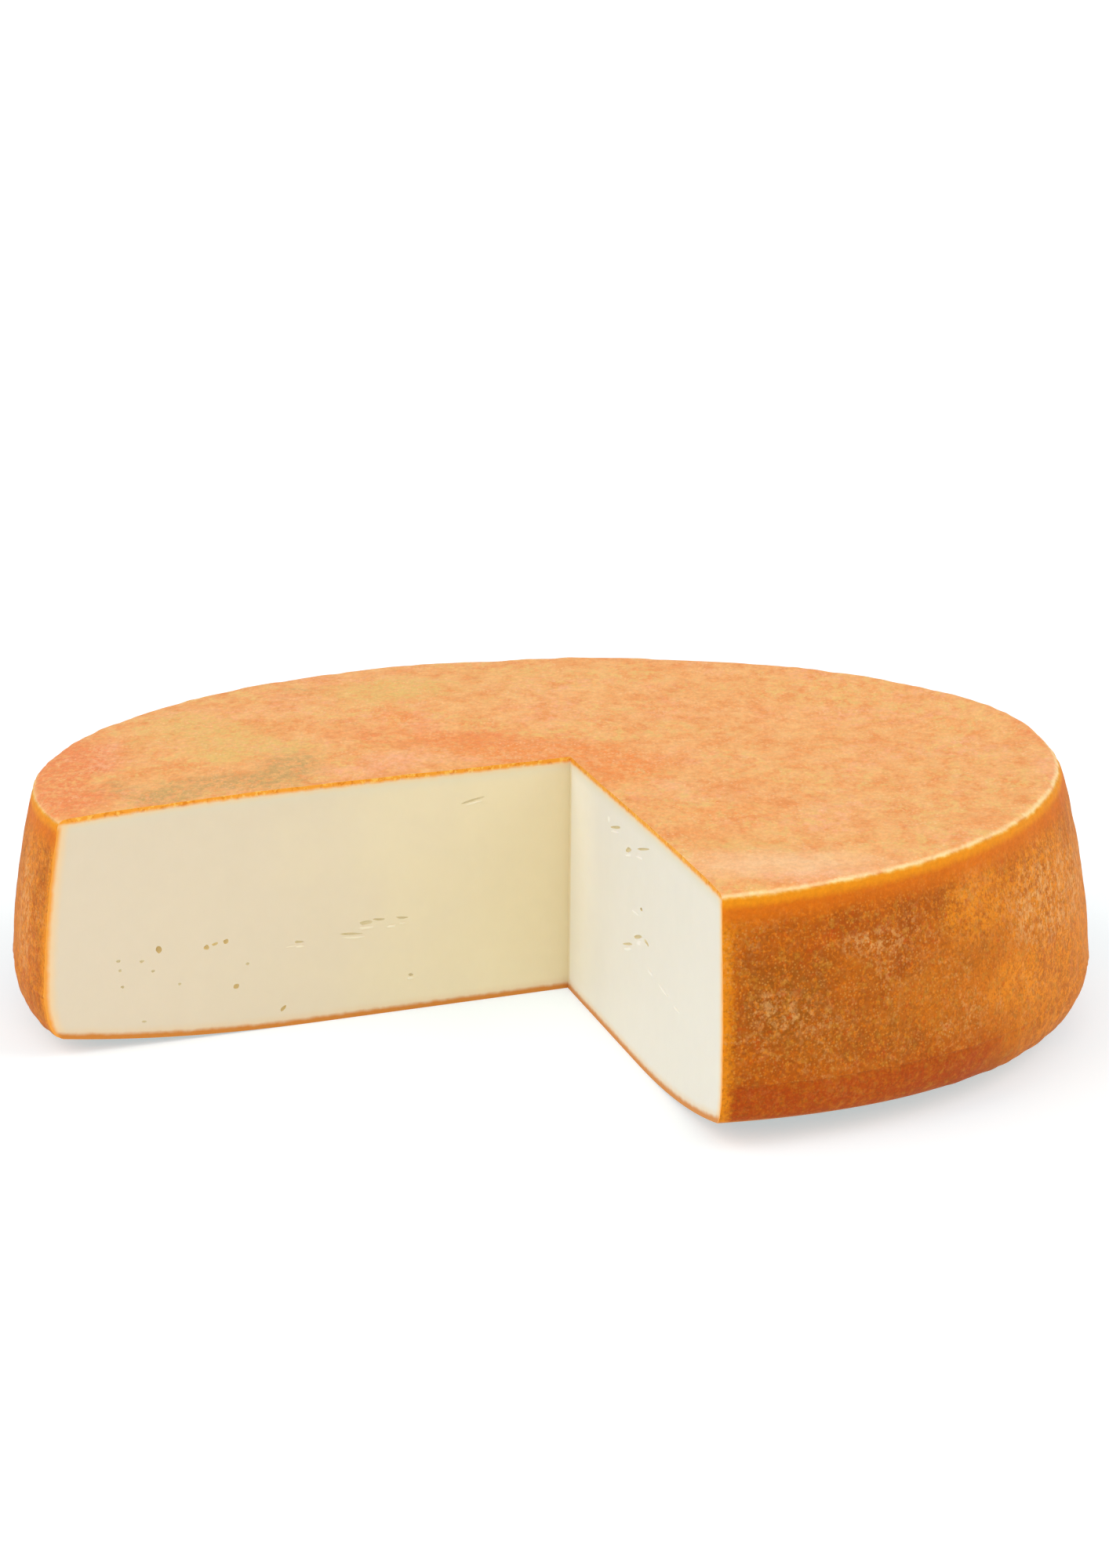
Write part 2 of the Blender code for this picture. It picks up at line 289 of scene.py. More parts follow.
# How steeply the side's stronger relief and the base's calm begin with the level
SIDE_ONSET = 12
BASE_ONSET = 8
NOT_ZERO = 1e-12
LENGTH_SPREAD = (0.7, 1.5)
# Level, half width and height in millimetres of the ridge at the widest line and the groove under it
RIDGE_AND_GROOVE = ((1.0, 0.016, 0.28), (1.05, 0.03, -0.22))


def rolling(points, wavelength, seed, count=14):
    """Smooth hills: the scaled sum of sines of position along random directions."""
    draw = np.random.default_rng(seed)
    lines = draw.normal(size=(count, 3))
    lines /= np.linalg.norm(lines, axis=1, keepdims=True)
    lengths = wavelength * draw.uniform(*LENGTH_SPREAD, size=(count, 1))
    phases = draw.uniform(0, math.tau, size=count)
    return np.sin(points @ (lines * math.tau / lengths).T + phases).sum(axis=-1) / math.sqrt(count / 2)


def profile_normals(across, up):
    """Unit normals of each column's profile in its half-plane: its slope turned outwards."""
    slope_across = np.gradient(across, axis=0)
    slope_up = np.gradient(up, axis=0)
    length = np.hypot(slope_across, slope_up) + NOT_ZERO
    return -slope_up / length, slope_across / length


level = np.concatenate((
    (outer_reach[0] - reach[:TOP_ROWS]) / -SIDE_DROP + profile[0, 2],
    profile[:, 2:3] * np.ones_like(directions),
    (outer_reach[-1] - reach[-TOP_ROWS:]) / SIDE_DROP + profile[-1, 2],
))
grid_points = np.stack((rind_x, rind_y, height), axis=-1)
on_side = np.clip(level * SIDE_ONSET + 1, 0, 1) * np.clip((2 - level) * SIDE_ONSET + 1, 0, 1)
on_base = np.clip((level - 2) * BASE_ONSET, 0, 1)
relief = sum(rolling(grid_points, *row) * rise * MM for rise, row in UNEVENNESS)
relief = relief * (1 + MORE_ON_SIDE * on_side)
for middle, half_width, rise in RIDGE_AND_GROOVE:
    relief = relief + np.exp(-((level - middle) / half_width) ** 2) * rise * MM
relief = np.where(on_base > 0, -np.abs(relief) * (1 - on_base), relief)
normal_across, normal_up = profile_normals(reach, height)
reach = reach + relief * normal_across
height = np.maximum(height + relief * normal_up, 0.0)
for end in (0, -1):
    reach[end] = 0.0
    height[end] = height[end, 0]
rind = np.stack((*spots(reach), height), axis=-1)
print("relief in mm:", (relief.min() / MM).round(2), "to", (relief.max() / MM).round(2))

# %% [markdown]
# ## The two cut faces
#
# Each face is a flat sheet between the top's edge, the outer edge, the base's edge and the upright corner
# line that both faces share. A Coons patch fills such a frame: it blends opposite edges and takes away what
# that counts twice. Its edge points are the rind's own, so the seams close exactly. Very shallow ripples
# stand for the drag of the blade, and fade out at the edges.

# %% Cut faces
RIM_MIDDLE = TOP_ROWS + CORNER_STEPS // 2
BASE_MIDDLE = ROWS - 1 - RIM_MIDDLE
CORNER_WAVELENGTH = 0.006
CORNER_ROUGHNESS = 0.16 * MM
BLADE_WAVELENGTH = 0.022
BLADE_SQUEEZE = (1, 1, 0.35)
BLADE_RIPPLE = 0.10 * MM
CORNER_SEED, BLADE_SEED = 21, 31
EDGE_FADE = 8


def axes(angle):
    """Unit vectors of an upright plane at an angle: outwards in it, off it, and up."""
    cosine, sine = math.cos(angle), math.sin(angle)
    return np.array(((cosine, sine, 0), (-sine, cosine, 0), (0, 0, 1)))


def cut_edges(grid, column):
    """Upper, lower and outer edge of a cut face, from one column of a grid of the rind."""
    outer = grid[RIM_MIDDLE:BASE_MIDDLE + 1, column]
    return grid[:RIM_MIDDLE + 1, column], grid[::-1][:RIM_MIDDLE + 1, column], outer


def shares(line):
    """Distance along a line of points as a share of its whole length."""
    steps = np.linalg.norm(np.diff(line, axis=0), axis=1)
    return np.concatenate(((0,), np.cumsum(steps))) / steps.sum()


def calm_ends(share):
    """0 at both ends of a line and 1 between: EDGE_FADE * share * (1 - share), at most 1."""
    return np.minimum(1, EDGE_FADE * share * (1 - share))


def corner_line(v):
    """The upright line at the cut's corner, a little rough where the two cuts met."""
    line = rind[0, 0] + (rind[-1, 0] - rind[0, 0]) * v[:, None]
    rough = rolling(line, CORNER_WAVELENGTH, CORNER_SEED) * CORNER_ROUGHNESS * np.sin(np.pi * v)
    return line + rough[:, None] * axes((LEFT_CUT_ANGLE + RIGHT_CUT_ANGLE + math.tau) / 2)[0]


def coons(top, bottom, inner, outer, s, v):
    """Top and bottom lines blended by v, inner and outer by s, less the blended corners."""
    s = s[:, None, None]
    v = v[None, :, None]
    across = (1 - v) * top[:, None] + v * bottom[:, None]
    down = (1 - s) * inner[None] + s * outer[None]
    corners = (1 - s) * ((1 - v) * top[0] + v * bottom[0]) + s * ((1 - v) * top[-1] + v * bottom[-1])
    return across + down - corners


def cut_face(column, angle, outward):
    """Grid of one cut face, from the corner out and from the top down, with the blade's ripples."""
    top, bottom, outer = cut_edges(rind, column)
    s = shares(top)
    v = down_shares
    sheet = coons(top, bottom, corner_line(v), outer, s, v)
    fade = calm_ends(s)[:, None] * calm_ends(v)
    ripple = rolling(sheet * np.array(BLADE_SQUEEZE), BLADE_WAVELENGTH, BLADE_SEED) * BLADE_RIPPLE * fade
    return sheet + ripple[..., None] * outward * axes(angle)[1]


down_shares = shares(cut_edges(rind, 0)[2])
right_face = cut_face(0, RIGHT_CUT_ANGLE, -1)
left_face = cut_face(COLUMNS, LEFT_CUT_ANGLE, 1)
print("each cut face:", left_face.shape[0], "by", left_face.shape[1], "points")

# %% [markdown]
# ## Measures on the rind's grid
#
# The finishes follow the cheese, not the room, so each vertex carries a few measures. `rind_place` holds
# how far down the profile a point is from the rim in millimetres, its level between rim and base, and how
# far away the nearer cut face is.

# %% Measures along the profile
def face_distance(points, angle):
    """Millimetres to one cut face: off its plane in front of the corner, else to the corner."""
    flat = points[..., :2] - CORNER
    outwards, off_plane, _ = axes(angle)[:, :2]
    return np.where(flat @ outwards > 0, np.abs(flat @ off_plane), np.hypot(*flat.T).T) / MM


steps_down = np.linalg.norm(np.diff(rind, axis=0), axis=-1)
along = np.concatenate((np.zeros((1, COLUMNS + 1)), np.cumsum(steps_down, axis=0)))
along = (along - along[RIM_MIDDLE]) / MM
from_cut = np.minimum(face_distance(rind, LEFT_CUT_ANGLE), face_distance(rind, RIGHT_CUT_ANGLE))
rind_place = np.stack((along, level, from_cut), axis=-1)


def face_place(face, column):
    """The rind's measures on the three edges that a cut face shares with it, else zero."""
    place = np.zeros(face.shape)
    place[:, 0], place[:, -1], place[-1] = cut_edges(rind_place, column)
    return place


print("down the profile in mm:", along.min().round(1), "to", along.max().round(1))

# %% [markdown]
# ## One closed mesh
#
# Quads come from neighbouring rows and columns of the three grids, written for the whole array at once, and
# points that the grids share are welded. Rind faces take the first material and cut faces the second.

# %% Closed mesh
RIND, PASTE, EYE, TEAR, FLAKE = range(5)
FINISHES = ("rind", "paste", "eye", "tear", "flake")
WELD = 0.002 * MM
CUBIC_CM = 1e-6


def quads(rows, columns, first, flip):
    """Corner numbers of every cell of a grid, wound the other way round if flip is set."""
    index = first + np.arange(rows * columns).reshape(rows, columns)
    corners = (index[:-1, :-1], index[1:, :-1], index[1:, 1:], index[:-1, 1:])
    cells = np.stack(corners, axis=-1).reshape(-1, 4)
    return cells[:, ::-1] if flip else cells


def store(mesh, name, values):
    """Write three numbers per vertex into a named attribute."""
    attribute = mesh.attributes.get(name) or mesh.attributes.new(name, "FLOAT_VECTOR", "POINT")
    attribute.data.foreach_set("vector", np.asarray(values, dtype=np.float32).ravel())


def closed_object(name, grids):
    """Grids of (points, measures, flip, material number) as one object with one welded mesh."""
    cells, numbers, first = [], [], 0
    for points, _, flip, number in grids:
        cells.append(quads(*points.shape[:2], first, flip))
        numbers.append(np.full(len(cells[-1]), number, dtype=np.int32))
        first += points.shape[0] * points.shape[1]
    mesh = bpy.data.meshes.new(name)
    mesh.from_pydata(np.concatenate([grid[0].reshape(-1, 3) for grid in grids]), [], np.concatenate(cells))
    mesh.polygons.foreach_set("material_index", np.concatenate(numbers))
    store(mesh, "rind_place", np.concatenate([grid[1].reshape(-1, 3) for grid in grids]))
    welded = bmesh.new()
    welded.from_mesh(mesh)
    bmesh.ops.remove_doubles(welded, verts=welded.verts, dist=WELD)
    open_edges = sum(not edge.is_manifold for edge in welded.edges)
    volume = welded.calc_volume(signed=True) / CUBIC_CM
    print(name, "open edges:", open_edges, "volume:", round(volume, 2), "ml")
    welded.to_mesh(mesh)
    welded.free()
    for finish in FINISHES:
        mesh.materials.append(bpy.data.materials.get(finish) or bpy.data.materials.new(finish))
    return put(name, mesh)


wheel = closed_object("cut_wheel", (
    (rind, rind_place, False, RIND),
    (right_face, face_place(right_face, 0), True, PASTE),
    (left_face, face_place(left_face, COLUMNS), False, PASTE),
))

# %% [markdown]
# ## Eyes, tears and flakes
#
# This cheese has few eyes: pinholes, small flat eyes, and thin tears where the knife pulled the paste.
# Each is cut with a slightly lumpy egg laid on the face, so that it has a real edge and floor in any light.
# Beside the tears the knife lifted thin flakes, which are flatter eggs joined on.

# %% Their places
# Out from the corner, height, length and thickness in millimetres, and how far the outer end is raised
LEFT_HOLES = (
    (155.9, 33.4, 2.2, 2.4, 0), (138.4, 32, 2.1, 1.8, 0), (135.4, 32.8, 2.6, 1.1, -12),
    (131.4, 33.3, 2.1, 1.8, -10), (127.9, 16.8, 2.2, 1.7, 0), (110.4, 6.7, 2.6, 1.3, -40),
    (104.6, 29.9, 3.6, 0.8, 4), (85, 30.4, 9, 0.9, 4), (79.2, 33.8, 5, 1.3, 0),
    (74, 34.4, 4.4, 0.9, 6), (65.2, 34, 4.4, 0.9, 7), (62, 12.7, 2, 1, 0),
    (38, 73.6, 10, 0.8, -10),
)
RIGHT_HOLES = (
    (59.5, 74.6, 13, 1, 14), (76, 70.9, 6, 1.6, 14), (93.2, 75.6, 13, 0.9, 14),
    (92.4, 54.6, 2.2, 1.3, 0), (76.6, 38.2, 11, 1, 16), (89.3, 44.2, 10.5, 1.2, 17),
    (99, 45, 5.6, 1.2, -4),
)
LEFT_PINHOLES = (
    (170.5, 31.1, 1.7, 0.9, 0), (162.1, 30, 1.9, 0.9, -8), (169.9, 27.7, 1.2, 0.9, 0),
    (158.1, 26.1, 1.2, 1, 0), (169.1, 21.8, 1.4, 1, 0), (148.5, 20.3, 1.2, 0.9, 0),
    (123.5, 24.4, 1.4, 1, 0), (161.5, 8.6, 1.6, 0.8, 0),
)
LEFT_FLAKES = (
    (107, 28.6, 6, 0.5, -4), (104, 28.3, 4.6, 0.9, 4), (83.7, 28.9, 9, 0.9, 4),
    (79.1, 31.9, 6, 1, 0), (69.4, 31.3, 4, 0.9, 0), (64.9, 31.9, 3, 0.8, 6),
    (62, 11.5, 3.4, 0.7, 0), (38.5, 72.3, 8, 0.8, -10),
)
RIGHT_FLAKES = (
    (51, 75.4, 3, 2, 0), (59.5, 73, 14, 1, 12), (74.8, 68.8, 9, 1.2, 14),
    (89, 71.5, 9, 1.1, 5), (84.7, 51.6, 10, 1.1, 4), (76.6, 36.5, 10, 1, 16),
    (89.3, 42.2, 8, 1.4, 14), (103, 35.9, 8, 1, -6), (119, 34.3, 11, 0.9, -6),
    (134, 32.5, 8, 0.8, -6),
)

# %% An egg laid on a cut face
EGG_AROUND = 20
EGG_DOWN = 12
LUMP_SIZE = 1.6
FIRST_EGG_SEED = 50


def egg(spot, depth, lift, seed, lumps):
    """A unit sphere, swollen by soft lumps, scaled to three half sizes, tilted, and moved to its spot.

    Its axes are those of the face: out from the corner, off the face and up.
    """
    distance, rise, length, thickness, tilt = spot
    latitude = np.linspace(-np.pi / 2, np.pi / 2, EGG_DOWN + 1)[:, None]
    longitude = np.linspace(0, math.tau, EGG_AROUND + 1)[None, :]
    ball = np.stack((
        np.cos(latitude) * np.cos(longitude),
        np.cos(latitude) * np.sin(longitude),
        np.sin(latitude) * np.ones_like(longitude),
    ), axis=-1)
    ball = ball * (1 + lumps * rolling(ball, LUMP_SIZE, seed))[..., None]
    ball = ball * np.array((length / 2, depth, thickness / 2)) * MM
    cosine, sine = math.cos(math.radians(tilt)), math.sin(math.radians(tilt))
    slant = np.array(((cosine, 0, sine), (0, 1, 0), (-sine, 0, cosine)))
    return ball @ slant + np.array((distance, lift, rise)) * MM


def eggs(name, left, right, form_of, lift, lumps):
    """The eggs of one kind on both faces as one object. form_of gives a spot's depth and finish."""
    faces = [(LEFT_CUT_ANGLE, 1)] * len(left) + [(RIGHT_CUT_ANGLE, -1)] * len(right)
    grids = []
    for seed, ((angle, outward), spot) in enumerate(zip(faces, left + right), start=FIRST_EGG_SEED):
        depth, finish = form_of(spot)
        points = egg(spot, depth, outward * lift, seed, lumps) @ axes(angle) + np.array((*CORNER, 0))
        grids.append((points, np.zeros(points.shape), True, finish))
    return closed_object(name, grids)


# %% Join the flakes on and cut the holes out
HOLE_DEPTH_SHARE = 0.6
SHALLOWEST_HOLE = 0.45
HOLE_LIFT = 0.08
HOLE_LUMPS = 0.10
FLAKE_HALF_DEPTH = 0.45
FLAKE_SUNK = 0.20
FLAKE_LUMPS = 0.14
EYE_SLENDERNESS = 2.5
THINNEST_EYE = 1.05
HIGHEST_EYE = 40


def hole_form(spot):
    """Depth in millimetres, and finish: a round hole low down is an eye, any other a tear."""
    _, rise, length, thickness, _ = spot
    is_round = THINNEST_EYE < thickness and length < EYE_SLENDERNESS * thickness
    finish = EYE if is_round and rise < HIGHEST_EYE else TEAR
    return max(SHALLOWEST_HOLE, HOLE_DEPTH_SHARE * min(length, thickness)), finish


def flake_form(_):
    """The same depth and finish for every flake."""
    return FLAKE_HALF_DEPTH, FLAKE


def apply_boolean(target, other, operation):
    """Apply a Boolean with another object, which goes when its mesh is removed."""
    boolean = target.modifiers.new("join", "BOOLEAN")
    boolean.operation = operation
    boolean.solver = "MANIFOLD"
    boolean.object = other
    old = target.data
    evaluated = target.evaluated_get(bpy.context.evaluated_depsgraph_get())
    target.data = bpy.data.meshes.new_from_object(evaluated)
    target.modifiers.clear()
    bpy.data.meshes.remove(old)
    bpy.data.meshes.remove(other.data)


flakes = eggs("flakes", LEFT_FLAKES, RIGHT_FLAKES, flake_form, -FLAKE_SUNK, FLAKE_LUMPS)
apply_boolean(wheel, flakes, "UNION")
holes = eggs("holes", LEFT_HOLES + LEFT_PINHOLES, RIGHT_HOLES, hole_form, HOLE_LIFT, HOLE_LUMPS)
apply_boolean(wheel, holes, "DIFFERENCE")
print("wheel triangles:", sum(len(p.vertices) - 2 for p in wheel.data.polygons))

# %% [markdown]
# ## Smooth shading, and into the part's frame
#
# The cut's edges and the holes' edges stay sharp, and everything else is shaded smooth. The wheel was
# worked out about its own axis, but the part's origin is the middle of its footprint, so the mesh moves
# by the difference, and the object itself stays at the origin.

# %% Shade and place
SHARP_EDGE = math.radians(38)
wheel.data.shade_smooth()
wheel.data.set_sharp_from_angle(angle=SHARP_EDGE)
corners = np.array(wheel.bound_box)
axis_place = (corners.min(axis=0) + corners.max(axis=0)) / 2 * (-1, -1, 0)
wheel.data.transform(Matrix.Translation(axis_place))
print("wheel axis at", axis_place.round(5), "sizes", np.ptp(corners, axis=0).round(4))
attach(wheel, "root")
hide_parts("cheese_wheel")

# %% [markdown]
# ## How deep a point lies
#
# On the cut faces the rind shows as a line that follows the outline. `depths` holds how deep a point is
# under the top, in from the side and above the base, from the same formulas that shaped the wheel.

# %% Depths
def depths(points):
    """Depth in millimetres of points under the top, in from the side and above the base."""
    x, y, z = points.T
    radius = nominal_radius(x, y)
    under_top = uneven_height(x, y, radius, top_height(radius)) - z
    over_base = z - uneven_height(x, y, radius, BASE_EDGE_HEIGHT * base_lift(radius))
    angle = np.arctan2(y, x)
    side_drop = SIDE_DROP + waves(angle, RIM_RISE_WAVES)
    foot_drop = FOOT_DROP - waves(angle, BASE_RISE_WAVES)
    side_share = np.clip(1 - (z - WIDEST_HEIGHT) / side_drop, 0, 1)
    foot_share = np.clip((WIDEST_HEIGHT - z) / foot_drop, 0, 1)
    outer = bulged(np.where(z > WIDEST_HEIGHT, side_radius(side_share), foot_radius(foot_share)), angle)
    from_side = outer - even_radius(x, y)
    return np.stack((under_top, from_side, over_base), axis=-1) / MM


def read_back(mesh, attribute):
    """Three numbers per vertex of an attribute, or of the vertices' places when it is 'position'."""
    values = np.empty(len(mesh.vertices) * 3, dtype=np.float32)
    mesh.attributes[attribute].data.foreach_get("vector", values)
    return values.reshape(-1, 3).astype(float)


wheel_points = read_back(wheel.data, "position") - axis_place
store(wheel.data, "depths", depths(wheel_points))
print("vertices:", len(wheel_points))

# %% [markdown]
# ## Where the rind's colours lie
#
# A rind's colours lie in broad patches: salmon and pink where brine stayed, straw and olive where mould
# grew, dusty where it was brushed dry. Each patch is a soft hill of one kind with a place, a reach and a
# strength, and the finish breaks its edge up with noise.

# %% Patches of the top and of the side
KINDS = ("salmon", "pink", "orange", "straw", "olive", "dusty")
# Place across and back in millimetres, reach across and back, and strength
TOP_PATCHES = {
    "salmon": (
        (-172, -15, 19, 54, 1.3), (-162, -72, 16, 20, 0.9), (-26, 22, 24, 20, 1.0),
        (-68, 28, 24, 20, 0.6), (173, 30, 10, 36, 0.8),
    ),
    "pink": (
        (-160, 8, 6, 24, 0.9), (-158, -20, 8, 14, 0.8), (-48, 44, 9, 20, 0.9), (-56, -12, 14, 16, 1.0),
        (-30, -8, 12, 8, 0.7), (-74, -28, 16, 8, 0.7), (-105, 95, 7, 22, 0.6), (82, -158, 28, 9, 0.9),
        (40, -45, 12, 18, 0.6), (172, -30, 8, 24, 0.8),
    ),
    "orange": (
        (-58, 62, 12, 22, 0.8), (20, -22, 20, 26, 1.1), (-8, 2, 40, 26, 0.9), (-44, 26, 30, 22, 0.5),
        (58, -84, 24, 18, 0.7), (136, -92, 12, 14, 0.6),
    ),
    "straw": (
        (-138, 52, 14, 26, 0.9), (-118, 22, 18, 34, 1.0), (-94, 8, 16, 14, 0.9), (-117, -8, 8, 10, 0.8),
        (-62, 112, 18, 22, 0.9), (-10, 130, 60, 36, 0.5), (-74, 98, 34, 20, 0.5), (64, -125, 24, 16, 0.7),
        (124, -100, 9, 14, 0.6), (-150, 15, 7, 16, 0.5),
    ),
    "olive": (
        (-92, -20, 14, 26, 0.95), (-112, -44, 24, 15, 0.95), (-134, -64, 15, 14, 0.95),
        (-151, -46, 6, 12, 0.5), (-98, 112, 10, 8, 0.6),
    ),
    "dusty": ((72, -145, 40, 18, 1.0),),
}
# Degrees round the wheel and height in millimetres, reach along and up, and strength
SIDE_PATCHES = {
    "salmon": ((-62, 68, 10, 6, 0.6), (-57, 28, 22, 6, 0.6), (202, 30, 26, 40, 0.8)),
    "pink": ((-43, 75, 14, 10, 0.6), (-32, 84, 18, 6, 0.6)),
    # The wide orange patch at -6 degrees lightens the side towards its right end, partly as painted light
    # from the right
    "orange": (
        (-37, 38, 18, 8, 1.0), (-30, 70, 32, 16, 1.1), (-44, 67, 18, 12, 1.1), (-28, 34, 34, 18, 0.9),
        (-6, 48, 60, 46, 1.1), (-30, 12, 34, 11, 0.5), (200, 40, 40, 50, 1.0), (203, 74, 14, 8, 0.8),
    ),
    "straw": ((-52, 46, 15, 14, 0.6),),
    "olive": (
        (-67, 47, 19, 18, 1.1), (-56, 30, 24, 12, 0.7), (-45, 52, 18, 12, 0.6), (198, 60, 10, 12, 0.5),
    ),
    "dusty": (
        (-69, 46, 14, 10, 0.65), (-62, 40, 24, 14, 0.5), (-58, 64, 14, 6, 0.8), (-50, 58, 24, 10, 0.5),
        (-44, 32, 26, 10, 0.5), (-33, 60, 26, 16, 0.85), (-22, 58, 30, 20, 0.9), (-6, 62, 30, 22, 0.7),
        (201, 44, 14, 30, 1.1),
    ),
}


# %% Patches as fields
def hill(aside, beyond, wide, deep, strength):
    """A soft hill: strength * exp(-((aside / wide) squared + (beyond / deep) squared))."""
    return strength * np.exp(-((aside / wide) ** 2 + (beyond / deep) ** 2))


def patch_fields(points, along):
    """For every point and kind, the sum of that kind's hills on the top and on the side."""
    east, north, height = points.T / MM
    around = np.degrees(np.arctan2(north, east))
    on_side = np.clip(along, 0, 1)
    fields = np.zeros((len(points), len(KINDS)))
    for number, kind in enumerate(KINDS):
        for across, back, *form in TOP_PATCHES[kind]:
            fields[:, number] += hill(east - across, north - back, *form) * (1 - on_side)
        for turn, rise, *form in SIDE_PATCHES[kind]:
            arc = np.radians((around - turn + 180) % 360 - 180) * WIDEST_RADIUS / MM
            fields[:, number] += hill(arc, height - rise, *form) * on_side
    return fields


fields = patch_fields(read_back(wheel.data, "position"), read_back(wheel.data, "rind_place")[:, 0])
store(wheel.data, "warm_patches", fields[:, :3])
store(wheel.data, "pale_patches", fields[:, 3:])
print("strongest patch of each kind:", dict(zip(KINDS, fields.max(axis=0).round(2))))

# %% [markdown]
# ## A short way to write finishes
#
# A finish is a tree of nodes, and a tree reads best as a recipe. `Finish` opens one material, and each of
# its methods adds nodes and hands back their output, so that a step of the recipe is one line. Places are
# the object's own coordinates in millimetres. Colours are written as seen on a screen, from 0 to 255.

# %% Finish
EVEN = (1.0, 1.0, 1.0)
SPECK_DISORDER = 0.85
SPECK_CORE = 0.45
SHEEN_ROUGHNESS = 0.6
SCATTER_BY_COLOUR = (1.0, 0.7, 0.4)


def seen(red, green, blue):
    """A colour as seen on a screen in linear light: ((c + 0.055) / 1.055) ** 2.4, straight when dark."""
    parts = [c / 255 for c in (red, green, blue)]
    return tuple(c / 12.92 if c <= 0.04045 else ((c + 0.055) / 1.055) ** 2.4 for c in parts) + (1.0,)


class Finish:
    """One material. Each method adds nodes and returns their output."""

    def __init__(self, name):
        self.material = bpy.data.materials.get(name) or bpy.data.materials.new(name)
        self.material.use_nodes = True
        self.tree = self.material.node_tree
        self.shader = self.tree.nodes["Principled BSDF"]
        metres = self.node("TexCoord", output="Object")
        self.place = self.node("VectorMath", {0: metres, "Scale": 1 / MM}, operation="SCALE")

    def node(self, kind, inputs=None, output=0, **settings):
        """Any shader node: settings are set, inputs are linked or filled."""
        node = self.tree.nodes.new("ShaderNode" + kind)
        for name, value in settings.items():
            setattr(node, name, value)
        for name, value in (inputs or {}).items():
            if isinstance(value, bpy.types.NodeSocket):
                self.tree.links.new(value, node.inputs[name])
            else:
                node.inputs[name].default_value = value
        return node.outputs[output]

    def math(self, operation, first, second=0.0, third=0.0):
        """One sum of two or three numbers."""
        return self.node("Math", {0: first, 1: second, 2: third}, operation=operation)

    def product(self, result, *factors):
        """All factors multiplied together."""
        for factor in factors:
            result = self.math("MULTIPLY", result, factor)
        return result

    def ramp(self, value, low, high, most=1.0):
        """A smooth step from 0 where value is low to `most` where it is high. Low may be the larger one."""
        inputs = {"Value": value, "From Min": low, "From Max": high, "To Min": 0.0, "To Max": most}
        return self.node("MapRange", inputs, interpolation_type="SMOOTHSTEP")

    def mix(self, share, first, second, kind="MIX"):
        """Two colours mixed."""
        return self.node("Mix", {0: share, 6: first, 7: second}, 2, data_type="RGBA", blend_type=kind)

    def moved(self, *move, stretch=EVEN):
        """The place in millimetres, moved so that no two textures agree."""
        return self.node("Mapping", {"Vector": self.place, "Location": move, "Scale": stretch})

    def noise(self, size, detail, roughness, move=0.0, stretch=EVEN):
        """Clouds from 0 to 1, about `size` millimetres wide."""
        place = self.moved(move, -move, move, stretch=stretch)
        inputs = {"Vector": place, "Scale": 1 / size, "Detail": detail, "Roughness": roughness}
        return self.node("TexNoise", inputs)

    def ragged(self, value, width, *noise):
        """A value made uneven by a noise around zero that is `width` wide."""
        return self.math("ADD", value, self.math("MULTIPLY_ADD", self.noise(*noise), width, -width / 2))

    def clouds(self, row, stretch=EVEN):
        """A mask from a row of four numbers of a noise and three of the smooth step over it."""
        return self.ramp(self.noise(*row[:4], stretch), *row[4:])

    def cloud(self, colour, row, *factors, stretch=EVEN):
        """A tint, the last of its row, laid over a colour where its clouds and all factors are high."""
        return self.mix(self.product(self.clouds(row[:-1], stretch), *factors), colour, seen(*row[-1]))

    def band(self, colour, row, value, *factors):
        """A tint, the last of its row, laid over a colour where its step of the value is high."""
        return self.mix(self.product(self.ramp(value, *row[:-1]), *factors), colour, seen(*row[-1]))

    def specks(self, cell, size, share, move):
        """Round specks: one in every `share` of the cells, which are about `cell` millimetres wide."""
        inputs = {"Vector": self.moved(move, move, -move), "Scale": 1 / cell, "Randomness": SPECK_DISORDER}
        distance = self.node("TexVoronoi", inputs)
        draw = self.node("SeparateColor", {0: self.tree.nodes[-1].outputs["Color"]})
        dot = self.ramp(distance, size / cell, SPECK_CORE * size / cell)
        return self.product(dot, self.math("LESS_THAN", draw, share))

    def parts(self, vector):
        """The three numbers of a vector."""
        self.node("SeparateXYZ", {0: vector})
        return tuple(self.tree.nodes[-1].outputs)

    def measure(self, name):
        """The three numbers of an attribute that the mesh carries."""
        return self.parts(self.node("Attribute", output="Vector", attribute_name=name))

    def paint(self, colour, brightness=1.0):
        """Colour times brightness into the shader."""
        grey = self.node("CombineXYZ", dict.fromkeys(range(3), brightness))
        self.tree.links.new(self.mix(1.0, colour, grey, "MULTIPLY"), self.shader.inputs["Base Color"])

    def relief(self, height, depth):
        """Bump from a height of 0 to 1 that stands for `depth` millimetres."""
        bump = self.node("Bump", {"Height": height, "Distance": depth * MM})
        self.tree.links.new(bump, self.shader.inputs["Normal"])

    def fill(self, values):
        """The shader's own sockets by name, the same all over the surface."""
        for name, value in values.items():
            self.shader.inputs[name].default_value = value

    def gloss(self, roughness, specular, sheen=0.0, scatter=0.0, scatter_depth=1.0):
        """How the surface shines, and how many millimetres light goes into it."""
        self.fill({
            "Roughness": roughness, "Specular IOR Level": specular,
            "Sheen Weight": sheen, "Sheen Roughness": SHEEN_ROUGHNESS,
            "Subsurface Weight": scatter, "Subsurface Radius": SCATTER_BY_COLOUR,
            "Subsurface Scale": scatter_depth * MM,
        })


print("middle grey on a screen, in linear light:", round(seen(128, 128, 128)[0], 3))
